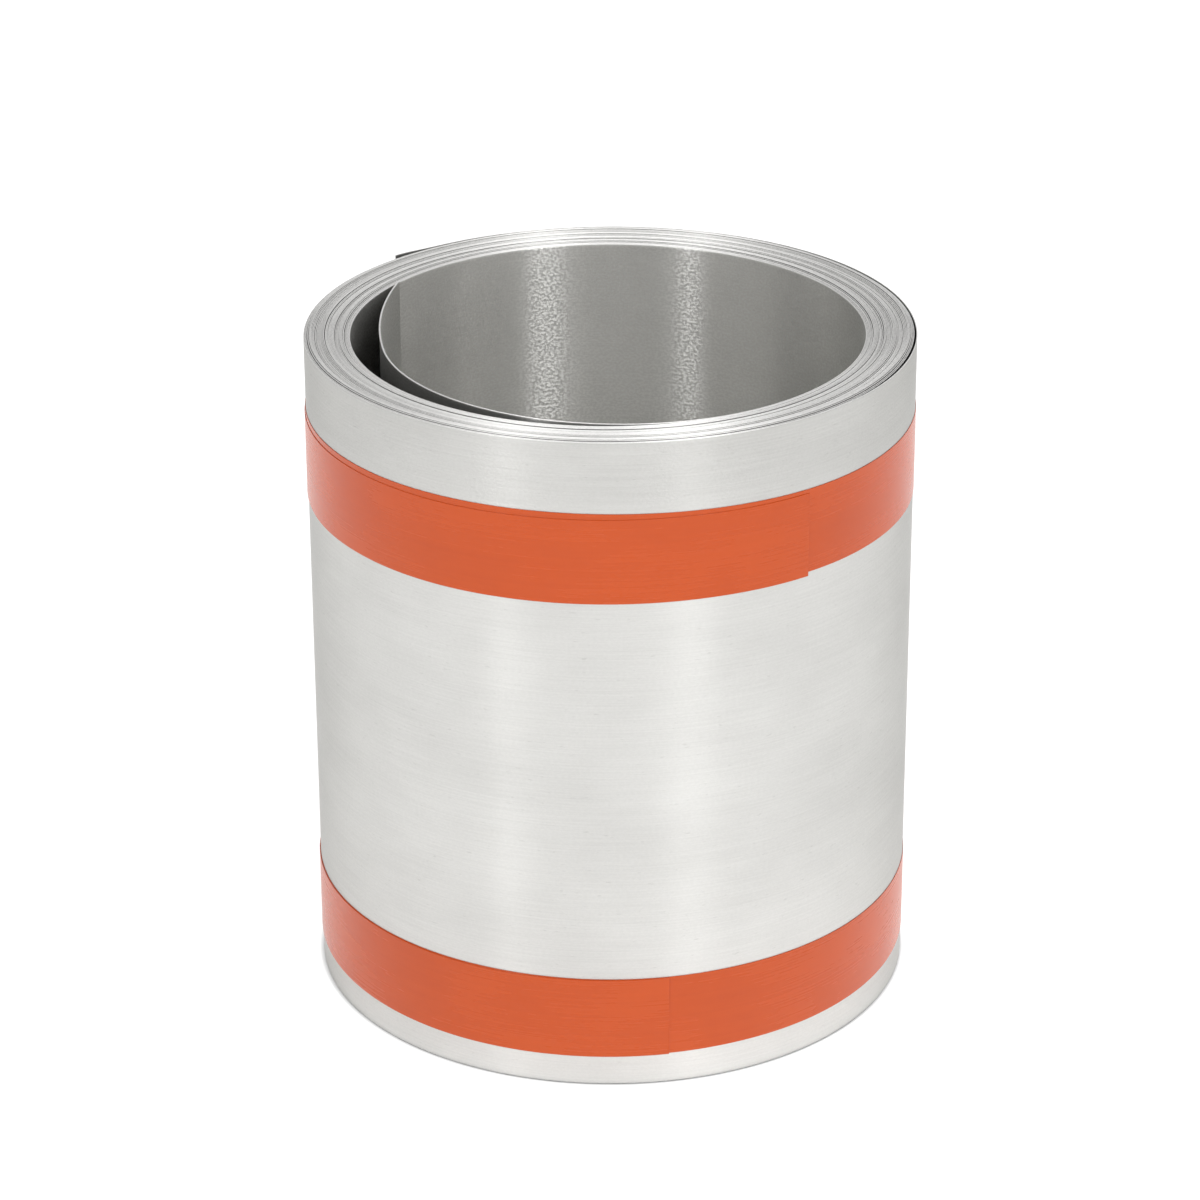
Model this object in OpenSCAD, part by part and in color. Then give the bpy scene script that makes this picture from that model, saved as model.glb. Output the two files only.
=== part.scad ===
// Roll of aluminium flashing: one long strip wound on itself, standing on its end,
// and held closed by two bands of film tape.
// Millimetres, +Z up. The origin is on the roll's axis, in the plane that it stands on.
// Angles are seen from above, anticlockwise from +X. -90 is the front.

/* [Strip] */
// Width of the strip, which is the height of the standing roll
strip_w = 152.4; // [100:0.1:305]
// Thickness of the sheet
sheet_t = 0.234; // [0.2:0.001:0.5]

/* [Coil] */
// Diameter across the outermost turn
coil_d = 134.8; // [126:0.1:200]
// Diameter of the bore, inside the innermost turn
bore_d = 112.7; // [92:0.1:122]
// Turns that can be told apart on each end of the roll
end_turns = 5; // [3:1:8]
// Width of the gap between those turns
turn_gap = 0.35; // [0.2:0.01:0.5]
// Depth of the gap between those turns
turn_gap_depth = 0.6; // [0.2:0.05:2]

/* [Inner end] */
// Direction in which the free inner end leaves the wall of the bore
leaf_root_a = -80; // [-110:1:-60]
// Direction of the middle of the free inner end
leaf_mid_a = -162; // [-175:1:-150]
// Distance from the wall of the bore to the free inner end at its middle
leaf_gap = 5.25; // [2:0.05:8]
// Direction of the tip, where the inner end springs back to the wall
leaf_tip_a = -214; // [-235:1:-205]
// Clearance between the tip and the wall of the bore
tip_gap = 0.3; // [0.2:0.05:1]
// How far the top edge of the inner end sits below the rim
leaf_drop = 0.2; // [0.1:0.05:2]

/* [Outer end] */
// Direction of the edge where the strip ends on the outside
outer_end_a = 136; // [120:1:160]
// How far the free corner above the tape springs out
corner_lift = 1.1; // [0.5:0.1:4]
// Angle around the roll over which that corner comes away
corner_span = 16; // [15:1:40]
// Depth and width of the step beside the outer edge
edge_step = 0.3; // [0.2:0.05:0.5]

/* [Tape] */
// Width of the tape
tape_w = 19.05; // [9:0.05:25.4]
// Thickness of one layer of tape
tape_t = 0.18; // [0.05:0.01:0.3]
// Clearance between the tape and the outermost turn
tape_seat = 0.02; // [0.01:0.01:0.1]
// Distance from the top of the roll down to the upper band
upper_tape_drop = 16.4; // [8:0.1:25]
// Height of the lower band above the base
lower_tape_z = 7.4; // [3:0.1:20]
// Direction in which the upper band's outer layer ends
upper_tape_end_a = -52; // [-80:1:-20]
// How far the outer layer of the upper band runs back under its end
upper_tape_lap = 150; // [40:1:200]
// How far the upper band's two layers are out of line
upper_tape_wander = 1.05; // [0.2:0.05:2]
// Direction in which the lower band's outer layer ends
lower_tape_end_a = -79; // [-85:1:-20]
// How far the outer layer of the lower band runs back under its end
lower_tape_lap = 150; // [20:1:200]
// How far the lower band's two layers are out of line
lower_tape_wander = 0.3; // [0.1:0.05:2]

/* [Hidden] */
$fn = 180;
// How far a cut runs past the face that it opens
eps = 1;

coil_r = coil_d / 2;
bore_r = bore_d / 2;
wall = coil_r - bore_r;
tape_r = coil_r + tape_seat;
upper_tape_z = strip_w - upper_tape_drop - tape_w;

// Spiral of the turns on the ends: half circles about two centres in turn. turn_edge is what
// stays of the wall on both sides of the spiral.
turn_edge = 0.6;
turn_pitch = (wall - 2 * turn_edge) / end_turns;

// Unit vector in direction a, and a point at radius r in that direction
function dir(a) = [cos(a), sin(a)];
function at(r, a) = r * dir(a);
function heading(p) = atan2(p[1], p[0]);
// The same direction as a, written as the next one clockwise from b
function before(a, b) = b - ((b - a) % 360 + 360) % 360;

// Free inner end: a first bend that leaves the bore's wall on its tangent and runs to the
// middle point, and a flatter second bend that runs on from there to the tip
leaf_mid = at(bore_r - leaf_gap, leaf_mid_a);
leaf_in = (bore_r^2 - norm(leaf_mid)^2)
  / (2 * (bore_r - norm(leaf_mid) * cos(leaf_root_a - leaf_mid_a)));
leaf_r1 = bore_r - leaf_in;
leaf_c1 = at(leaf_in, leaf_root_a);
leaf_turn = before(heading(leaf_mid - leaf_c1), leaf_root_a);
leaf_tip = at(bore_r - sheet_t / 2 - tip_gap, leaf_tip_a);
leaf_chord = leaf_tip - leaf_mid;
leaf_r2 = -(leaf_chord * leaf_chord) / (2 * leaf_chord * dir(leaf_turn));
leaf_c2 = leaf_mid - at(leaf_r2, leaf_turn);
leaf_end = before(heading(leaf_tip - leaf_c2), leaf_turn);
// The sheet comes out of the innermost turns where the gap is one sheet wide
leaf_free_a = leaf_root_a - acos(1 - 1.5 * sheet_t / leaf_in);
leaf_start_a = leaf_free_a + 1;
leaf_hold = 2.25 * sheet_t;

// One side of the sheet along both bends, at off from its middle
leaf_n1 = 24;
leaf_n2 = 8;
leaf_n = leaf_n1 + leaf_n2;
function leaf_side(off) = concat(
  [for (i = [0 : leaf_n1])
    leaf_c1 + at(leaf_r1 + off, leaf_start_a + i / leaf_n1 * (leaf_turn - leaf_start_a))],
  [for (i = [1 : leaf_n2])
    leaf_c2 + at(leaf_r2 + off, leaf_turn + i / leaf_n2 * (leaf_end - leaf_turn))]);

// Free outer corner: the triangle above the tape folds out about the line fold_a to fold_b.
// The fold's foot clears the tape, and the folded sheet runs on into the turn before it.
corner_clear = 0.4;
corner_tail = 8;
corner_foot = strip_w - upper_tape_drop + corner_clear;
fold_a = concat(at(coil_r, outer_end_a - corner_span), [strip_w]);
fold_b = concat(at(coil_r, outer_end_a), [corner_foot]);
corner_run = coil_r * corner_span * PI / 180;
corner_drop = strip_w - corner_foot;
corner_turn = asin(corner_lift * sqrt(corner_run^2 + corner_drop^2) / (corner_run * corner_drop));

// Ring section from direction a1 round to a2, between radii r1 and r2 and heights z1 and z2
module arc_wall(r1, r2, z1, z2, a1, a2)
  rotate([0, 0, a1])
    rotate_extrude(angle = a2 - a1)
      translate([r1, z1]) square([r2 - r1, z2 - z1]);

// Full ring between radii r1 and r2 and heights z1 and z2
module ring(r1, r2, z1, z2)
  rotate_extrude()
    translate([r1, z1]) square([r2 - r1, z2 - z1]);

// Gap that winds outwards through the turns, cut into the end of the roll from z1 to z2
module turn_spiral(z1, z2)
  rotate([0, 0, outer_end_a])
    for (k = [0 : end_turns - 1]) {
      r = bore_r + turn_edge + k * turn_pitch;
      translate([-turn_pitch / 4, 0, 0])
        arc_wall(r + turn_pitch / 4 - turn_gap / 2, r + turn_pitch / 4 + turn_gap / 2,
          z1, z2, 0, 180);
      translate([turn_pitch / 4, 0, 0])
        arc_wall(r + 3 * turn_pitch / 4 - turn_gap / 2, r + 3 * turn_pitch / 4 + turn_gap / 2,
          z1, z2, 180, 360);
    }

// Inner end of the strip, sprung away from the bore and back to it at the tip. The turns that it
// leaves stay on the wall up to the angle where the gap is one sheet wide.
module inner_leaf() {
  linear_extrude(strip_w - leaf_drop)
    polygon(concat(leaf_side(sheet_t / 2), [for (i = [leaf_n : -1 : 0]) leaf_side(-sheet_t / 2)[i]]));
  arc_wall(bore_r - leaf_hold, bore_r + sheet_t, 0, strip_w - leaf_drop, leaf_free_a, leaf_root_a);
}

// Free corner of the outer end, folded out above the upper band of tape
module outer_corner()
  intersection() {
    translate(fold_a)
      rotate(a = corner_turn, v = fold_b - fold_a)
        translate(-fold_a)
          arc_wall(coil_r - sheet_t, coil_r, corner_foot - 2 * eps, strip_w + eps,
            outer_end_a - corner_span - corner_tail, outer_end_a);
    cylinder(h = strip_w, r = coil_r + 2 * corner_lift);
  }

module flashing_coil()
  color("silver")
  difference() {
    union() {
      ring(bore_r, coil_r, 0, strip_w);
      inner_leaf();
      outer_corner();
    }
    turn_spiral(strip_w - turn_gap_depth, strip_w + eps);
    turn_spiral(-eps, turn_gap_depth);
    rotate([0, 0, outer_end_a])
      translate([coil_r - edge_step, 0, -eps])
        cube([2 * edge_step, edge_step, strip_w + 2 * eps]);
  }

// Band of tape with its lower edge at z, whose outer layer ends at end_a
module tape_band(z, end_a, lap, wander) {
  ring(tape_r, tape_r + tape_t, z, z + tape_w);
  arc_wall(tape_r + tape_t / 2, tape_r + 2 * tape_t, z - wander, z - wander + tape_w,
    end_a - lap, end_a);
}

module upper_tape_band()
  color("coral")
  tape_band(upper_tape_z, upper_tape_end_a, upper_tape_lap, upper_tape_wander);

module lower_tape_band()
  color("coral")
  tape_band(lower_tape_z, lower_tape_end_a, lower_tape_lap, lower_tape_wander);

flashing_coil();
upper_tape_band();
lower_tape_band();
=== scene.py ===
# %% [markdown]
# # A roll of aluminium flashing
# Flashing is thin soft sheet that a roofer cuts and bends into joints. It is sold as one long
# strip wound on itself, and here two bands of orange film tape hold the roll shut. This lesson
# builds the strip and the tape as the thin sheets that they are, inside the size that the
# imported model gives, and then finishes, lights and frames them.

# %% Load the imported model
import math

import bpy
import numpy as np
from mathutils import Matrix, Vector


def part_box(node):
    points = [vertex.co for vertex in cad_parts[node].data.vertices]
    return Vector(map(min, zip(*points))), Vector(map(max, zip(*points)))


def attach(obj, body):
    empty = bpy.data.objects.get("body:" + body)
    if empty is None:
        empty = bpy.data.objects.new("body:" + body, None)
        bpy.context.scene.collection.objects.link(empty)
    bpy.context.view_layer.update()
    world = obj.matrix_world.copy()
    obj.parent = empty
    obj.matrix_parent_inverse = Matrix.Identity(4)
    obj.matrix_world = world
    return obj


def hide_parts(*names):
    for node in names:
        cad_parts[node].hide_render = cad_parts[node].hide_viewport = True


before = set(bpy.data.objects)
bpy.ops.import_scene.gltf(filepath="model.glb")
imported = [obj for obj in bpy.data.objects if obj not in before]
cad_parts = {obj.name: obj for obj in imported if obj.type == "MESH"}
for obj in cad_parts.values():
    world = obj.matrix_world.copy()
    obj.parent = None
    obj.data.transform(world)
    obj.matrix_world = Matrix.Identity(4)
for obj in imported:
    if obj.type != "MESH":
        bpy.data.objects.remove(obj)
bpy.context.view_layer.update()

# %% [markdown]
# ## Measures
# All lengths here are millimetres until a mesh is made, because the strip's own sizes are easy
# to read that way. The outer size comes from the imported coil, so the two can't drift apart.
# The winding is described by one number, the turn count from the bore outwards. Angles are
# degrees seen from above, anticlockwise from +X, and -90 is the front.

# %% Measures of the roll
MM = 0.001
coil_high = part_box("flashing_coil")[1]
HEIGHT = coil_high[2] / MM
COIL_R = coil_high[0] / MM
BORE_R = 56.35
BORE_SHIFT = np.array([-0.41, -0.99])
SHEET = 0.234
HEIGHT_PLAY = 0.7
STRIP_W = HEIGHT - HEIGHT_PLAY
BORE_START, END_ANGLE = -56.5, 136.4
WHOLE_TURNS = 38
TURNS = WHOLE_TURNS + (END_ANGLE - BORE_START) / 360
print(f"roll {2 * COIL_R:.1f} x {HEIGHT:.1f} mm, {TURNS:.2f} turns")

# %% [markdown]
# ## How the turns lie
# A slit strip never winds evenly: every seven or eight turns the winder leaves a wider gap,
# and whole groups of turns sit a little high or low. Random numbers per turn would break the
# strip at each full turn, so every wobble here is a smooth function of the turn count, made
# of a few sine waves.

# %% Smooth curves
def smoothstep(x):
    """0 up to x = 0, 1 from x = 1 on, and an even S between them."""
    x = np.clip(x, 0.0, 1.0)
    return x * x * (3 - 2 * x)


def wobble(x, seed, longest, shortest, waves=6):
    """A smooth curve about 0 and about 1 high, made of sine waves from longest to shortest."""
    rng = np.random.default_rng(seed)
    x = np.asarray(x, float)
    total = np.zeros_like(x)
    for length in np.geomspace(longest, shortest, waves):
        total += np.sin(2 * np.pi * x / length + rng.uniform(0, 2 * np.pi)) / math.sqrt(waves)
    return total


print("smoothstep at a quarter and three quarters:", smoothstep(np.array([0.25, 0.75])))

# %% Gaps between the turns
# Each gap: the turn after which it opens, the side where it is widest, its width in turns.
GAPS = ((5.3, -120, 0.85), (12.9, -65, 0.80), (20.6, 130, 0.80), (28.4, -112, 0.95),
        (34.4, 160, 0.70))
NARROW_SIDE = 0.2
# The outermost turn also stands off, on the front right only.
LOOSE_TURN = TURNS - 1.2
LOOSE_AT, LOOSE_SPREAD, LOOSE_WIDTH = -24, 24, 2.8


def gap_widths(angle):
    """Where each gap starts, and how wide it is in a direction, both in turns."""
    for start, widest, width in GAPS:
        near = (1 + np.cos(np.radians(angle - widest))) / 2
        yield start, width * (NARROW_SIDE + (1 - NARROW_SIDE) * near ** 2)
    away = (angle - LOOSE_AT + 180) % 360 - 180
    yield LOOSE_TURN, LOOSE_WIDTH * np.exp(-(away / LOOSE_SPREAD) ** 2)


print("gaps start at turns", *(round(start, 1) for start, width in gap_widths(-90)))

# %% Path of the sheet's middle
GAP_OPENING = 0.6


def angle_of(turn):
    return BORE_START + 360 * turn


def share_of_wall(turn):
    """How far through the wall a turn lies, from 0 at the bore to 1 outside."""
    passed, total = turn, TURNS
    for start, width in gap_widths(angle_of(turn)):
        passed = passed + width * smoothstep((turn - start) / GAP_OPENING)
        total = total + width
    return passed / total


def round_point(angle, radius):
    return radius * np.stack([np.cos(np.radians(angle)), np.sin(np.radians(angle))], -1)


def bore_point(angle):
    return BORE_SHIFT + round_point(angle, BORE_R + SHEET / 2)


def coil_point(turn):
    """Middle of the sheet at a turn, between the bore's circle and the outer circle."""
    share = share_of_wall(turn)[..., None]
    angle = angle_of(turn)
    return bore_point(angle) * (1 - share) + round_point(angle, COIL_R - SHEET / 2) * share


turns = np.arange(0, TURNS - 1, 0.01)
step = np.linalg.norm(coil_point(turns + 1) - coil_point(turns), axis=1)
print(f"from turn to turn: {step.min():.3f} to {step.max():.3f} mm, sheet {SHEET} mm")

# %% How high each turn sits
FLOOR_GAP, MOST_SHIFT = 0.03, 0.3
GROUP_SHIFT, TURN_SHIFT = 0.20, 0.05
OUTER_RISE, OUTER_RISE_TURNS = 0.34, 0.025
INNER_RISE, INNER_RISE_TURNS = 0.36, 0.36
INNER_DROP, INNER_DROP_TURNS = 0.2, 0.3
INNER_TURNS, INNER_FADE, OUTER_FADE = 4, 2, 1.5


def rise(turn):
    """How far a turn sits above or below its neighbours. Both free ends ride up, and the
    innermost turns sit low. Whole groups shift only between the innermost turns and the
    outermost one."""
    groups = GROUP_SHIFT * wobble(turn, 11, longest=16.0, shortest=6.5, waves=4)
    each = TURN_SHIFT * wobble(turn, 12, longest=2.9, shortest=0.8, waves=5)
    past_inner = (turn - INNER_TURNS) / INNER_FADE
    groups = groups * smoothstep((TURNS - turn) / OUTER_FADE) * smoothstep(past_inner)
    low = (-INNER_DROP * smoothstep(1 - past_inner)
           * smoothstep((turn + INNER_DROP_TURNS) / INNER_DROP_TURNS))
    shift = groups + low + each * smoothstep(turn)
    ends = (OUTER_RISE * smoothstep(1 - (TURNS - turn) / OUTER_RISE_TURNS)
            + INNER_RISE * smoothstep(-turn / INNER_RISE_TURNS))
    return np.clip(shift, -MOST_SHIFT, MOST_SHIFT) + ends


def edges_at(turn):
    """Heights of the strip's lower and upper edge at a turn."""
    low = FLOOR_GAP + MOST_SHIFT + rise(turn)
    return low, low + STRIP_W


print(f"turns sit {rise(turns).min():.2f} to {rise(turns).max():.2f} mm off the even winding")

# %% [markdown]
# ## A sheet as a closed mesh
# A solidified plane would do for one turn, but the sheet here is only as thick as a few hairs
# and must stay closed at both ends. So its section is drawn as one closed loop of points: up
# the outer face, over the rounded upper edge, down the inner face and round the lower edge.
# One loop stands at each step of the path, and the loops are sewn to each other. Where a knife
# pressed the metal out, the upper edge swells into a fine burr that catches the light.

# %% Points of a sheet
BOW = np.radians([45, 90, 135])


def places_on_loop(m):
    """Where the outer face ends, where the inner face starts and ends, and the whole count
    of points, on a loop with m points on each face."""
    return m - 1, m + len(BOW), 2 * m + len(BOW) - 1, 2 * m + 2 * len(BOW)


def sheet_points(middle, heights, thickness, lift, burr):
    """The loops of points in metres, one for each step of the path, and the points' heights
    in millimetres."""
    n, m = heights.shape
    outer_last, inner_first, _, loop = places_on_loop(m)
    half = thickness / 2
    tangent = np.gradient(middle, axis=0)
    tangent /= np.linalg.norm(tangent, axis=1)[:, None]
    normal = np.stack([tangent[:, 1], -tangent[:, 0]], 1)

    over = heights[:, -1:] + half * np.sin(BOW)
    under = heights[:, :1] - half * np.sin(BOW)
    loop_z = np.hstack([heights, over, heights[:, ::-1], under])
    across = half * np.concatenate([np.ones(m), np.cos(BOW), -np.ones(m), -np.cos(BOW)])
    swell = np.zeros(loop)
    swell[outer_last:inner_first + 1] = [1.0, *np.cos(BOW), -1.0]
    across = across + np.broadcast_to(burr, n)[:, None] * swell

    lift = np.broadcast_to(lift, (n, m))
    loop_lift = np.hstack([lift, lift[:, -1:].repeat(len(BOW), 1), lift[:, ::-1],
                           lift[:, :1].repeat(len(BOW), 1)])
    xy = middle[:, None, :] + normal[:, None, :] * (loop_lift + across)[:, :, None]
    return np.dstack([xy, loop_z]).reshape(-1, 3) * MM, loop_z

# %% Faces of a sheet
def sheet_faces(n, m):
    """Step and place on the loop of the corners of all quads between n loops, and the faces
    that close both ends. m is how many points lie on each face of the sheet."""
    outer_last, inner_first, inner_last, loop = places_on_loop(m)
    step_of, place = (grid.ravel() for grid in np.meshgrid(np.arange(n - 1), np.arange(loop),
                                                           indexing="ij"))
    steps = np.stack([step_of, step_of + 1, step_of + 1, step_of], 1)
    places = np.stack([place, place, place + 1, place + 1], 1)

    rows = np.arange(outer_last)
    facing = inner_last - rows
    cap = np.stack([rows, rows + 1, facing - 1, facing], 1).tolist()
    cap += [list(range(outer_last, inner_first + 1)), list(range(inner_last, loop)) + [0]]
    far_cap = [[(n - 1) * loop + corner for corner in reversed(face)] for face in cap]
    return steps, places, cap + far_cap

# %% [markdown]
# The mesh carries two maps. "Strip" is the strip's own ruler, the distance along it and the
# height, and the finishes use it. "OFBake" is a flat layout for baking: how much of it the
# outer and the inner face get is given for each sheet, and the edges share the rest.

# %% A thin sheet
OUTER_FACE, INNER_FACE, SLIT = 0, 1, 2
LAYOUT_MARGIN = 0.002
SHARP_FROM = math.radians(60)


def map_layer(mesh, name, values):
    layer = mesh.uv_layers.new(name=name, do_init=False)
    layer.uv.foreach_set("vector", np.ascontiguousarray(values, np.float32).ravel())


def thin_sheet(name, middle, heights, thickness, along, faces, lift=0.0, burr=0.0):
    """A closed sheet with rounded edges. middle is (n, 2) along the path, heights is (n, m),
    along is the distance at each step, and faces is each face's share of the bake's layout.
    lift moves points outwards, and burr is how far each side of the upper edge swells."""
    n, m = heights.shape
    points, loop_z = sheet_points(middle, heights, thickness, lift, burr)
    steps, places, ends = sheet_faces(n, m)
    outer_last, inner_first, inner_last, loop = places_on_loop(m)
    quads = steps * loop + places % loop
    mesh = bpy.data.meshes.new(name)
    mesh.from_pydata(points.tolist(), [], quads.tolist() + ends)

    end_corners = np.concatenate([np.array(face) for face in ends])
    all_steps = np.concatenate([steps.ravel(), end_corners // loop])
    all_places = np.concatenate([places.ravel(), end_corners % loop])
    height = loop_z[all_steps, all_places % loop]
    map_layer(mesh, "Strip", np.stack([along[all_steps], height], 1) * MM)
    edge = (1 - sum(faces)) / 2
    layout_v = np.interp(all_places, [0, outer_last, inner_first, inner_last, loop],
                         [0, faces[0], faces[0] + edge, 1 - edge, 1])
    layout_u = (along[all_steps] - along[0]) / (along[-1] - along[0])
    layout = np.stack([layout_u, layout_v], 1)
    map_layer(mesh, "OFBake", LAYOUT_MARGIN + (1 - 2 * LAYOUT_MARGIN) * layout)

    place = places[:, 0]
    slot = np.full(len(quads) + len(ends), SLIT)
    slot[:len(quads)][place < outer_last] = OUTER_FACE
    slot[:len(quads)][(place >= inner_first) & (place < inner_last)] = INNER_FACE
    mesh.polygons.foreach_set("material_index", slot.astype(np.int32))
    mesh.polygons.foreach_set("use_smooth", np.ones(len(slot), bool))
    mesh.update()
    mesh.set_sharp_from_angle(angle=SHARP_FROM)
    piece = bpy.data.objects.new(name, mesh)
    bpy.context.scene.collection.objects.link(piece)
    print(f"{name}: {sum(len(face.vertices) - 2 for face in mesh.polygons)} triangles")
    return piece

# %% Rows and distances of a sheet
EDGE_ROW = 0.003


def distance_along(middle):
    return np.concatenate([[0.0], np.cumsum(np.linalg.norm(np.diff(middle, axis=0), axis=1))])


def rows_between(low, high, rows, thickness=SHEET):
    """Heights of each step from edge to edge, with a close pair at both edges so that the
    rounding stays at the very edge."""
    t = np.concatenate([[0.0], np.linspace(EDGE_ROW, 1 - EDGE_ROW, rows - 2), [1.0]])
    low, high = low + thickness / 2, high - thickness / 2
    return low[:, None] * (1 - t) + high[:, None] * t


print("six rows of a strip:", rows_between(*edges_at(turns[:1]), 6)[0].round(1))

# %% [markdown]
# ## Finishes
# All finishes are made of nodes on the strip's ruler, with one scale along the strip and
# another up it. An image would be simpler, but it would blur up close. The helpers below keep
# each finish short: one makes stretched noise, one turns a range of it into another range, and
# one adds up noises by weight.

# %% Node helpers
def new_material(name):
    material = bpy.data.materials.new(name)
    material.use_nodes = True
    nodes, links = material.node_tree.nodes, material.node_tree.links
    shader = nodes["Principled BSDF"]

    def node(kind, **settings):
        made = nodes.new(kind)
        for key, value in settings.items():
            if key.startswith("in_"):
                made.inputs[key[3:].replace("_", " ")].default_value = value
            else:
                setattr(made, key, value)
        return made

    return material, shader, node, links.new


def ruler_noise(node, link, scale, detail, rough=0.6):
    """Noise on the strip's ruler: scale is repeats per metre along it and up it."""
    ruler = node("ShaderNodeUVMap", uv_map="Strip")
    stretch = node("ShaderNodeMapping")
    stretch.inputs["Scale"].default_value = (scale[0], scale[1], 1.0)
    noise = node("ShaderNodeTexNoise", in_Scale=1.0, in_Detail=detail, in_Roughness=rough)
    link(ruler.outputs["UV"], stretch.inputs["Vector"])
    link(stretch.outputs["Vector"], noise.inputs["Vector"])
    return noise.outputs["Fac"]


def height_on(node, link, map_name):
    """The upright coordinate of one of the two maps."""
    ruler = node("ShaderNodeUVMap", uv_map=map_name)
    split = node("ShaderNodeSeparateXYZ")
    link(ruler.outputs["UV"], split.inputs["Vector"])
    return split.outputs["Y"]

# %% Helpers that turn noise into tone and relief
def ramp(node, link, source, low, high, to_low, to_high):
    made = node("ShaderNodeMapRange", in_From_Min=low, in_From_Max=high, in_To_Min=to_low,
                in_To_Max=to_high)
    link(source, made.inputs["Value"])
    return made.outputs["Result"]


def join(node, link, operation, a, b):
    made = node("ShaderNodeMath", operation=operation)
    for socket, value in zip(made.inputs, (a, b)):
        if isinstance(value, (int, float)):
            socket.default_value = value
        else:
            link(value, socket)
    return made.outputs["Value"]


def weigh(node, link, *parts):
    """The sum of some values, each times its own weight."""
    weighed = [join(node, link, "MULTIPLY", value, weight) for value, weight in parts]
    total = weighed[0]
    for value in weighed[1:]:
        total = join(node, link, "ADD", total, value)
    return total


def tint(node, link, factor, dark, light):
    """A colour between two others. The Mix node keeps its two colours in sockets 6 and 7."""
    made = node("ShaderNodeMix", data_type="RGBA")
    made.inputs[6].default_value = (*dark, 1)
    made.inputs[7].default_value = (*light, 1)
    link(factor, made.inputs[0])
    return made.outputs[2]


def roughen(node, link, height, strength, distance, *shaders):
    """Gives the shaders a relief: height is its shape, and distance its depth in metres."""
    bump = node("ShaderNodeBump", in_Strength=strength, in_Distance=distance)
    link(height, bump.inputs["Height"])
    for shader in shaders:
        link(bump.outputs["Normal"], shader.inputs["Normal"])


def roll_metal(node, link, shader, smear):
    """Makes a shader metal that was rolled round the axis: smear stretches its highlights
    across the rolling lines."""
    round_axis = node("ShaderNodeTangent", direction_type="RADIAL", axis="Z")
    link(round_axis.outputs["Tangent"], shader.inputs["Tangent"])
    shader.inputs["Metallic"].default_value = 1.0
    shader.inputs["Anisotropic"].default_value = smear
    shader.inputs["Anisotropic Rotation"].default_value = 0.25

# %% [markdown]
# ## The mill finish
# Rolled aluminium carries fine lines along the strip, so it mirrors sideways and smears light
# up and down: that is why the wall shows soft upright streaks. The shader's anisotropy gives
# the smear, and noise stretched along the strip gives the lines and the small rub marks.
#
# Seen close, the rolls leave the metal in tiny grains, some flat and bright, some pitted and
# dull. Away from a lamp both look the same grey, and where a lamp is mirrored the flat ones
# glitter. Relief alone can't do this, because it would roughen the even parts too. So each
# face mixes two shaders, a sharp one and a dull one, by a fine noise with clear borders. The
# share of flat grains is small on the worn outside and large in the untouched bore.

# %% Mill aluminium
LINES, BANDS, CLOUDS, GRAINS, MARKS = (40, 2600), (5, 160), (30, 45), (1300, 1900), (420, 1500)
DARK_HUE, LIGHT_HUE = (1.0, 0.993, 0.96), (1.0, 0.994, 0.965)
GRAZING_TINT = (0.62, 0.62, 0.61, 1)
TONE_SPREAD, GLOSS_SPREAD, SCUFF_SPREAD = (0.0, 0.8), (0.3, 0.7), (0.66, 0.76)
HANDLED_FROM, HANDLED_TO = 0.128, 0.140
GRAIN_BORDER = (0.45, 0.57)
PIT_DEPTH, HANDLED_PITS = 0.4, 15.0
RELIEF = 0.00002
DULL_ROUGHNESS, DULL_SHARE = 0.5, 0.90


def grey(tone, hue):
    return [tone * part for part in hue]


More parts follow.
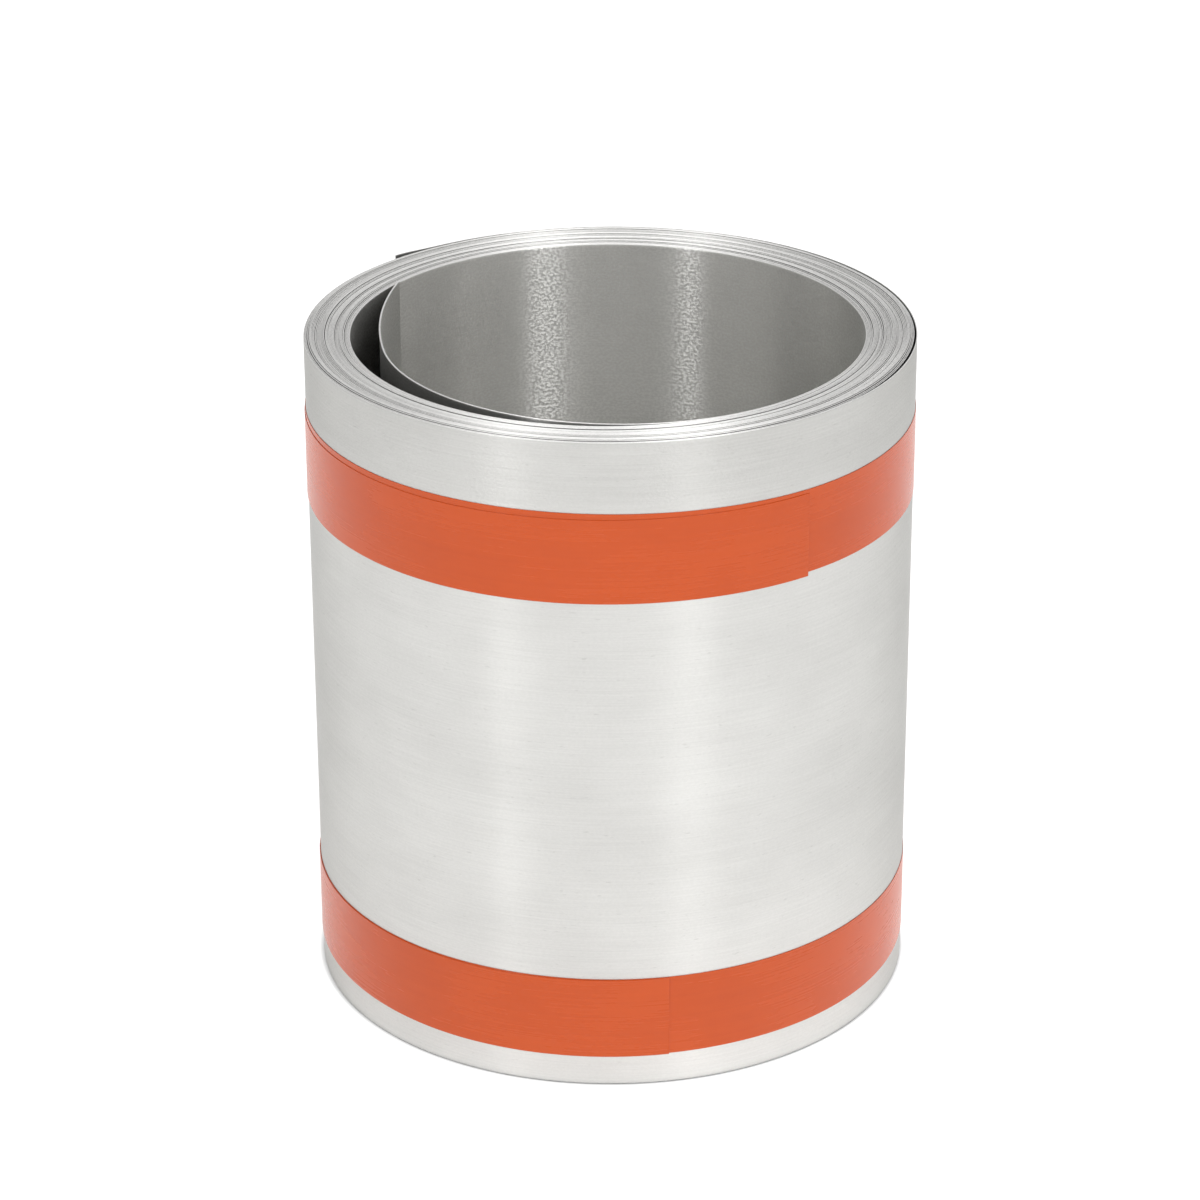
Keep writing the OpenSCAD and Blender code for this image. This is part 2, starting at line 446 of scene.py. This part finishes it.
def mill_aluminium(name, tones, gloss, line_depth, flat_grains, scuffed=1.0, handled=0.0):
    """tones are the darkest and the lightest grey, and gloss the range of roughness.
    line_depth is the height of the rolling lines. flat_grains gives the least and the most
    of the surface that the rolls left flat and bright. scuffed is how strong the small rub
    marks are, and handled darkens and roughens the margin above the upper tape."""
    material, sharp, node, link = new_material(name)
    lines = ruler_noise(node, link, LINES, detail=4)
    bands = ruler_noise(node, link, BANDS, detail=2)
    clouds = ruler_noise(node, link, CLOUDS, detail=3)
    grains = ruler_noise(node, link, GRAINS, detail=2)
    marks = ruler_noise(node, link, MARKS, detail=2, rough=0.5)
    scuffs = ramp(node, link, marks, *SCUFF_SPREAD, 0.0, scuffed)
    margin = ramp(node, link, height_on(node, link, "Strip"), HANDLED_FROM, HANDLED_TO,
                  0.0, handled)

    tone = weigh(node, link, (lines, 0.5), (clouds, 0.5), (scuffs, -0.3), (margin, -1.0))
    colour = tint(node, link, ramp(node, link, tone, *TONE_SPREAD, 0.0, 1.0),
                  grey(tones[0], DARK_HUE), grey(tones[1], LIGHT_HUE))
    link(colour, sharp.inputs["Base Color"])
    shine = weigh(node, link, (bands, 0.5), (lines, 0.5))
    link(ramp(node, link, shine, *GLOSS_SPREAD, *gloss), sharp.inputs["Roughness"])
    sharp.inputs["Specular Tint"].default_value = GRAZING_TINT
    roll_metal(node, link, sharp, smear=1.0)

    dull = node("ShaderNodeBsdfPrincipled", in_Metallic=1.0, in_Roughness=DULL_ROUGHNESS)
    dull.inputs["Specular Tint"].default_value = GRAZING_TINT
    deeper = node("ShaderNodeVectorMath", operation="SCALE", in_Scale=DULL_SHARE)
    link(colour, deeper.inputs[0])
    link(deeper.outputs["Vector"], dull.inputs["Base Color"])

    pits = join(node, link, "ADD", join(node, link, "MULTIPLY", margin, HANDLED_PITS), PIT_DEPTH)
    height = weigh(node, link, (lines, line_depth), (grains, pits), (scuffs, -line_depth))
    roughen(node, link, height, 1.0, RELIEF, sharp, dull)

    mixed = node("ShaderNodeMixShader")
    link(ramp(node, link, grains, *GRAIN_BORDER, *flat_grains), mixed.inputs["Fac"])
    link(dull.outputs["BSDF"], mixed.inputs[1])
    link(sharp.outputs["BSDF"], mixed.inputs[2])
    surface = material.node_tree.nodes["Material Output"].inputs["Surface"]
    link(mixed.outputs["Shader"], surface)
    return material

# %% [markdown]
# The strip needs this finish in four states. Outside it is worn by hands and shelves. In the bore
# it is as it left the mill. The other two are painted shade: the faces that lie on each other,
# and the back of the free end in the crescent, get a darker tone that stands in for the light
# lost in the narrow gaps, so that the gaps between turns look almost black, as real ones do.

# %% The strip's faces: two finishes and two copies with painted shade
OUTSIDE = mill_aluminium("mill_aluminium_outside", tones=(0.515, 0.73), gloss=(0.277, 0.30),
                         line_depth=0.3, flat_grains=(0.2, 0.4), handled=0.23)
INSIDE = mill_aluminium("mill_aluminium_inside", tones=(0.69, 0.87), gloss=(0.277, 0.283),
                        line_depth=0.0, flat_grains=(0.05, 1.0), scuffed=0.0)
# painted shade: a dark copy of the finish for the faces between turns and the outer turn's inner
# face, standing in for the light lost in the narrow gaps
SHADED = mill_aluminium("mill_aluminium_painted_shade_between_turns", tones=(0.14, 0.26),
                        gloss=(0.30, 0.38), line_depth=0.4, flat_grains=(0.5, 1.0))
# painted shade: a darker copy of the finish for the back of the free end, which lies in the
# crescent's shadow
CRESCENT_SHADE = mill_aluminium("mill_aluminium_painted_shade_in_crescent", tones=(0.26, 0.37),
                        gloss=(0.30, 0.38), line_depth=0.4, flat_grains=(0.5, 1.0))
print("mill finishes:", OUTSIDE.name, INSIDE.name, SHADED.name, CRESCENT_SHADE.name)

# %% [markdown]
# The slit edges are what the rim shows. A knife leaves them brighter than the faces, with
# nicks, and each turn came past the knife a little differently. So one noise runs quickly
# along the strip for the nicks, and a slow one gives neighbouring turns their own tone.

# %% Slit edges of the strip
EDGE_DARK, EDGE_LIGHT = (0.66, 0.655, 0.645), (0.88, 0.874, 0.862)
EDGE_GLOSS = (0.54, 0.64)
NICKS, TURNS_APART = (900, 60), (5, 1)


def slit_edge():
    material, shader, node, link = new_material("slit_edge")
    nicks = ruler_noise(node, link, NICKS, detail=4)
    turns_apart = ruler_noise(node, link, TURNS_APART, detail=2)
    tone = weigh(node, link, (nicks, 0.4), (turns_apart, 0.6))
    link(tint(node, link, ramp(node, link, tone, 0.35, 0.65, 0.0, 1.0), EDGE_DARK, EDGE_LIGHT),
         shader.inputs["Base Color"])
    link(ramp(node, link, tone, *GLOSS_SPREAD, *EDGE_GLOSS), shader.inputs["Roughness"])
    roughen(node, link, nicks, 0.2, 1.5 * RELIEF, shader)
    roll_metal(node, link, shader, smear=0.65)
    return material


EDGE = slit_edge()
print("edge finish:", EDGE.name)

# %% [markdown]
# ## The strip
# On the real roll this is one strip. It could be one mesh, but its faces would be almost all
# hidden between turns, and they would take the room that a bake needs for the faces that
# show. So the strip is made in three runs that meet end to end: the outer turn, the turns
# between, and the innermost turn with its free end.
#
# The strip's outer end was never glued. Its corner above the upper tape stands off the roll,
# folded about a slanting line, and between the tapes the edge bulges a little.

# %% The outer turn
OUTER_RUN, OUTER_STEPS, OUTER_ROWS = 1.25, 541, 33
UPPER_TAPE_TOP = 136.4
CORNER_LIFT, CORNER_RUN, FOLD_SHARPNESS = 0.55, 14.0, 9
BULGE, BULGE_LOW, BULGE_HEIGHT, BULGE_RUN = 0.25, 28, 86, 9


def outer_end_lift(back, heights):
    """How far the strip's outer end stands off: back is the distance from its end."""
    drop = (HEIGHT - heights) / (HEIGHT - UPPER_TAPE_TOP)
    fold = 1 - back[:, None] / CORNER_RUN - drop
    corner = CORNER_LIFT * np.log1p(np.exp(FOLD_SHARPNESS * fold)) / FOLD_SHARPNESS
    between_tapes = np.sin(np.pi * np.clip((heights - BULGE_LOW) / BULGE_HEIGHT, 0, 1)) ** 2
    return corner + BULGE * between_tapes * np.exp(-back[:, None] / BULGE_RUN)


outer_turn = np.linspace(TURNS - OUTER_RUN, TURNS, OUTER_STEPS)
outer_middle = coil_point(outer_turn)
outer_along = distance_along(outer_middle)
outer_heights = rows_between(*edges_at(outer_turn), OUTER_ROWS)
outer_lift = outer_end_lift(outer_along[-1] - outer_along, outer_heights)
outer = thin_sheet("flashing_outer_turn", outer_middle, outer_heights, SHEET, outer_along,
                   faces=(0.86, 0.08), lift=outer_lift)

# %% The turns between
MIDDLE_STEPS, MIDDLE_ROWS = 5400, 4

middle_turn = np.linspace(1.0, TURNS - OUTER_RUN, MIDDLE_STEPS)
middle_path = coil_point(middle_turn)
middle_heights = rows_between(*edges_at(middle_turn), MIDDLE_ROWS)
between = thin_sheet("flashing_turns", middle_path, middle_heights, SHEET,
                     distance_along(middle_path), faces=(0.05, 0.05))

# %% [markdown]
# ## The free inner end
# The innermost turn is cut free where the roll came off the winder's mandrel. It springs
# inwards, bends in two sweeps, and its tip rests on the wall again, so that a crescent of
# shadow stays between them. Two arcs that share a tangent give this bend with four numbers.

# %% Path of the inner turn and the free end
BEND_R1, BEND_SWEEP1, BEND_STEPS1 = 51.96, 114.35, 140
BEND_R2, BEND_SWEEP2, BEND_STEPS2 = 108.2, 22.7, 60
INNER_STEPS = 361

bend_angle = BORE_START - BEND_SWEEP1
bend_1 = bore_point(BORE_START) - round_point(BORE_START, BEND_R1)
bend_2 = bend_1 + round_point(bend_angle, BEND_R1 - BEND_R2)
tip_angles = np.linspace(bend_angle - BEND_SWEEP2, bend_angle, BEND_STEPS2)
root_angles = np.linspace(bend_angle, BORE_START, BEND_STEPS1)[1:]
tip_part = bend_2 + round_point(tip_angles, BEND_R2)
root_part = bend_1 + round_point(root_angles, BEND_R1)
inner_turn = np.linspace(0, 1.0, INNER_STEPS)[1:]
inner_middle = np.concatenate([tip_part, root_part, coil_point(inner_turn)])
print("tip of the free end at", inner_middle[0].round(2))

# %% The inner turn
FREE_TURNS, INNER_ROWS = 0.45, 17
BURR, BURR_FADE = 0.09, 40

inner_along = distance_along(inner_middle)
free = inner_along[len(tip_part) + len(root_part)]
turns_there = np.where(inner_along < free, FREE_TURNS * (inner_along / free - 1),
                       (inner_along - free) / (inner_along[-1] - free))
inner_heights = rows_between(*edges_at(turns_there), INNER_ROWS)
inner = thin_sheet("flashing_inner_turn", inner_middle, inner_heights, SHEET, inner_along,
                   faces=(0.34, 0.58), burr=BURR * smoothstep((free - inner_along) / BURR_FADE))

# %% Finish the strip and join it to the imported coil
def add_material(mesh, *materials):
    for material in materials:
        mesh.materials.append(material)


# the faces between turns and the outer turn's inner face take the painted shade between turns,
# and the back of the free end takes the crescent's painted shade
for piece, outer_face, inner_face in ((outer, OUTSIDE, SHADED), (between, SHADED, SHADED),
                                      (inner, CRESCENT_SHADE, INSIDE)):
    add_material(piece.data, outer_face, inner_face, EDGE)
    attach(piece, "root")
    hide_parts("flashing_coil")
strip_length = inner_along[-1] + outer_along[-1] + distance_along(middle_path)[-1]
print(f"strip length {strip_length * MM:.2f} m")

# %% [markdown]
# ## The tape
# Two bands of glossy film hold the roll. Each is a strip wound a little more than once round,
# so its last stretch lies on its own start, and the two layers are never quite in line. The
# film is far thinner than the sheet, and it follows the step where the strip's outer end
# stops. A torus or a tube would miss both the lap and that step.
#
# The colour sits in clear plastic, so the film is a glossy plastic and not a metal. Fine lines
# from stretching run along it, with faint clouds where it isn't quite stuck and short creases,
# and its cut edges are darker.

# %% Orange film
FILM_DARK, FILM_LIGHT = (0.405, 0.049, 0.002), (0.49, 0.067, 0.004)
STRETCH_LINES, STUCK_CLOUDS, CREASE_MARKS = (14, 1300), (40, 70), (160, 900)
FILM_SPREAD, FILM_GLOSS, CREASE_SPREAD = (0.2, 0.8), (0.22, 0.32), (0.73, 0.78)
CREASE_HEIGHT = 6.0
# the cut edges on the film's layout: the face lies between them
LOW_CUT, HIGH_CUT, CUT_DARKNESS = (0.016, 0.006), (0.884, 0.894), 0.7


def orange_film():
    material, shader, node, link = new_material("orange_film")
    lines = ruler_noise(node, link, STRETCH_LINES, detail=4)
    clouds = ruler_noise(node, link, STUCK_CLOUDS, detail=4)
    marks = ruler_noise(node, link, CREASE_MARKS, detail=2, rough=0.5)
    tone = weigh(node, link, (lines, 0.35), (clouds, 0.65))
    across = height_on(node, link, "OFBake")
    low_cut, high_cut = (ramp(node, link, across, *cut, 0.0, CUT_DARKNESS)
                         for cut in (LOW_CUT, HIGH_CUT))
    cuts = join(node, link, "MAXIMUM", low_cut, high_cut)
    shade = ramp(node, link, join(node, link, "SUBTRACT", tone, cuts), *FILM_SPREAD, 0.0, 1.0)
    link(tint(node, link, shade, FILM_DARK, FILM_LIGHT), shader.inputs["Base Color"])
    link(ramp(node, link, tone, *FILM_SPREAD, *FILM_GLOSS), shader.inputs["Roughness"])
    creases = ramp(node, link, marks, *CREASE_SPREAD, 0.0, CREASE_HEIGHT)
    height = weigh(node, link, (lines, 1.0), (clouds, 1.0), (creases, 1.0))
    roughen(node, link, height, 0.09, RELIEF, shader)
    shader.inputs["IOR"].default_value = 1.42
    return material


FILM = orange_film()
print("tape finish:", FILM.name)

# %% The wall under the tape
STEP_RUN = 1.1


def wall_radius(angle):
    """Radius of the strip's outer face in a direction, in degrees."""
    turn = TURNS - ((END_ANGLE - angle) % 360) / 360
    return np.linalg.norm(coil_point(turn), axis=-1) + SHEET / 2


def step_bridge(angle):
    """The film runs straight down the step beside the strip's outer end."""
    past = (angle - END_ANGLE) % 360
    top_of_step = wall_radius(np.array([END_ANGLE - 0.01]))[0]
    return (top_of_step - wall_radius(angle)) * np.exp(-past / STEP_RUN)


print("wall at the front:", wall_radius(np.array([-90.0])).round(3), "mm from the axis")

# %% Wind a band of tape
TAPE_W, FILM_T, FILM_SEAT = 19.05, 0.12, 0.02
LAP, LAP_START = 150, 3
LAYER = FILM_T * 1.15
TAPE_STEPS, TAPE_ROWS = 901, 15
EASING = 41
WAVER = 0.05


def tape_band(name, end_angle, line):
    """A band whose outer layer ends at end_angle. line gives its lower edge: pairs of the
    angle wound before that end, and a height. The line is eased at its corners, and wavers."""
    wound = np.linspace(360 + LAP, 0, TAPE_STEPS)
    angle = end_angle - wound
    over = smoothstep((LAP - wound) / LAP_START)
    radius = wall_radius(angle) + step_bridge(angle) + FILM_SEAT + FILM_T / 2 + over * LAYER
    middle = round_point(angle, 1.0) * radius[:, None]
    back, height = np.array(line).T
    low = np.interp(wound, back, height)
    low = np.pad(low, EASING // 2, mode="edge")
    low = np.convolve(low, np.full(EASING, 1 / EASING), mode="valid")
    low = low + WAVER * wobble(angle, 21, longest=240, shortest=40)
    heights = rows_between(low, low + TAPE_W, TAPE_ROWS, FILM_T)
    piece = thin_sheet(name, middle, heights, FILM_T, distance_along(middle),
                       faces=(0.9, 0.04))
    add_material(piece.data, FILM, FILM, FILM)
    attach(piece, "root")
    return piece


# %% The two bands
UPPER_END, LOWER_END = -52.0, -79.5
UPPER_LINE = [(0, 115.75), (150, 115.75), (345, 116.5), (362, 116.55), (398, 117.15),
              (510, 117.1)]
LOWER_LINE = [(0, 7.15), (150, 7.15), (350, 7.4), (510, 7.4)]

upper = tape_band("upper_tape", UPPER_END, UPPER_LINE)
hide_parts("upper_tape_band")
lower = tape_band("lower_tape", LOWER_END, LOWER_LINE)
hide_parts("lower_tape_band")

# %% [markdown]
# ## Floor, light and camera
# The roll stands on a white sweep in a bright studio. Metal shows only what is around it, so
# the room is lit first and the lamps then add the soft streaks.
#
# The paper glows by itself, as an evenly lit sweep does, and its glow is strongest near the
# roll's front right, a painted pool of light. It doesn't glow under the strip, where the light
# would leak up between the turns, and only faintly inside the bore, which is painted shade for
# the shadow of the wall.

# %% Floor
FLOOR_REACH = 6.0
PAPER_GREY = (0.55, 0.55, 0.55, 1)
BRIGHTEST_AT = (0.035, -0.035, 0)
NEAR, FAR = 0.03, 0.11
NEAR_GLOW, FAR_GLOW, BORE_GLOW = 0.84, 0.60, 0.2

floor_mesh = bpy.data.meshes.new("floor")
corners = [(x * FLOOR_REACH, y * FLOOR_REACH, 0) for x, y in ((-1, -1), (1, -1), (1, 1), (-1, 1))]
floor_mesh.from_pydata(corners, [], [(0, 1, 2, 3)])
floor = bpy.data.objects.new("floor", floor_mesh)
bpy.context.scene.collection.objects.link(floor)


def white_paper():
    material, shader, node, link = new_material("white_paper")
    shader.inputs["Base Color"].default_value = PAPER_GREY
    shader.inputs["Roughness"].default_value = 0.9
    shader.inputs["Specular IOR Level"].default_value = 0.0
    shader.inputs["Emission Color"].default_value = (1, 1, 1, 1)
    place = node("ShaderNodeTexCoord").outputs["Object"]
    from_axis = node("ShaderNodeVectorMath", operation="LENGTH")
    link(place, from_axis.inputs[0])
    radius = from_axis.outputs["Value"]
    # painted shade: no glow under the strip and only a faint one inside the bore
    outside = ramp(node, link, radius, (COIL_R - 0.5) * MM, (COIL_R + 1.0) * MM, 0.0, 1.0)
    in_bore = ramp(node, link, radius, (BORE_R - 3) * MM, (BORE_R - 2) * MM, BORE_GLOW, 0.0)
    from_brightest = node("ShaderNodeVectorMath", operation="DISTANCE")
    link(place, from_brightest.inputs[0])
    from_brightest.inputs[1].default_value = BRIGHTEST_AT
    # painted pool of light: the glow is strongest near the roll's front right
    glow = ramp(node, link, from_brightest.outputs["Value"], NEAR, FAR, NEAR_GLOW, FAR_GLOW)
    link(weigh(node, link, (outside, glow), (in_bore, 1.0)), shader.inputs["Emission Strength"])
    return material


add_material(floor_mesh, white_paper())
print("floor reaches", FLOOR_REACH, "m each way")

# %% [markdown]
# The room is an even white with two slow changes: it is a little brighter behind the roll than
# in front, and shaded on the left, which is why the wall darkens there. Both are functions of
# the direction alone, so they stay put when the camera moves.

# %% World
FRONT_LIGHT, BACK_LIGHT, LEFT_SHADE = 0.69, 0.82, 0.70
TO_BACK, TO_LEFT = (-0.17, 0.98, 0.0), (-0.94, 0.34, 0.0)
BACK_FROM, LEFT_FROM = -0.4, 0.5

world = bpy.data.worlds.new("studio")
bpy.context.scene.world = world
world.use_nodes = True
sky, sky_link = world.node_tree.nodes, world.node_tree.links.new
looking = sky.new("ShaderNodeTexCoord")


def fade_towards(direction, start, near, far):
    """A value that goes smoothly from near to far as the view turns to a direction."""
    part = sky.new("ShaderNodeVectorMath")
    part.operation = "DOT_PRODUCT"
    part.inputs[1].default_value = direction
    sky_link(looking.outputs["Generated"], part.inputs[0])
    fade = sky.new("ShaderNodeMapRange")
    fade.interpolation_type = "SMOOTHSTEP"
    for socket, value in zip(("From Min", "From Max", "To Min", "To Max"),
                             (start, 1.0, near, far)):
        fade.inputs[socket].default_value = value
    sky_link(part.outputs["Value"], fade.inputs["Value"])
    return fade.outputs["Result"]


both = sky.new("ShaderNodeMath")
both.operation = "MULTIPLY"
sky_link(fade_towards(TO_BACK, BACK_FROM, FRONT_LIGHT, BACK_LIGHT), both.inputs[0])
sky_link(fade_towards(TO_LEFT, LEFT_FROM, 1.0, LEFT_SHADE), both.inputs[1])
sky_link(both.outputs["Value"], sky["Background"].inputs["Strength"])
sky["Background"].inputs["Color"].default_value = (1, 1, 1, 1)
print("room strength from", FRONT_LIGHT, "in front to", BACK_LIGHT, "behind")

# %% [markdown]
# Two tall lamps in front make the streaks, a narrow one on the left and a wide one on the
# right. The bore is hollow, so it mirrors them the other way round: its left streak comes
# from the right lamp. A large lamp overhead softens the rest.

# %% Lamps
LAMP_AIM = Vector((0, 0, 0.08))
TALL = 0.9


def softbox(name, azimuth, height, away, size, power):
    """A soft lamp at an azimuth in degrees, at a height and a distance from the roll's axis."""
    place = Vector((away * math.cos(math.radians(azimuth)),
                    away * math.sin(math.radians(azimuth)), height))
    lamp = bpy.data.lights.new(name, "AREA")
    lamp.shape, lamp.size, lamp.size_y, lamp.energy = "RECTANGLE", size[0], size[1], power
    box = bpy.data.objects.new(name, lamp)
    box.location = place
    box.rotation_euler = (LAMP_AIM - place).to_track_quat("-Z", "Y").to_euler()
    bpy.context.scene.collection.objects.link(box)
    print(f"{name}: {power} W, {size[0]} x {size[1]} m")


softbox("lamp_overhead", 90, 1.8, 0.3, (3.0, 3.0), 11)
softbox("lamp_front_left", -131, 1.0, 1.1, (0.2, TALL), 6.2)
softbox("lamp_front_right", -59, 1.0, 1.1, (0.36, TALL), 8.8)

# %% [markdown]
# The camera is a long lens that looks down a little, so that both rims read as flat ovals and
# the walls stay nearly upright. Its turn is built from three axes, because it is also rolled
# by a fraction of a degree.

# %% Camera
LENS_MM, SENSOR_MM = 125.64, 36.0
EYE = Vector((-0.00244, -0.86234, 0.47448))
AIM = Vector((-0.00244, 0.0, 0.08645))
ROLL = math.radians(-0.2276)

lens = bpy.data.cameras.new("camera")
lens.lens, lens.sensor_width = LENS_MM, SENSOR_MM
camera = bpy.data.objects.new("camera", lens)
forward = (AIM - EYE).normalized()
right = forward.cross(Vector((0, 0, 1))).normalized()
up = right.cross(forward)
right, up = (right * math.cos(ROLL) + up * math.sin(ROLL),
             up * math.cos(ROLL) - right * math.sin(ROLL))
turned = Matrix((right, up, -forward)).transposed()
camera.matrix_world = Matrix.Translation(EYE) @ turned.to_4x4()
bpy.context.scene.collection.objects.link(camera)
bpy.context.scene.camera = camera
bpy.context.scene.view_settings.view_transform = "Standard"
print(f"camera {(AIM - EYE).length:.2f} m away, {LENS_MM} mm lens")
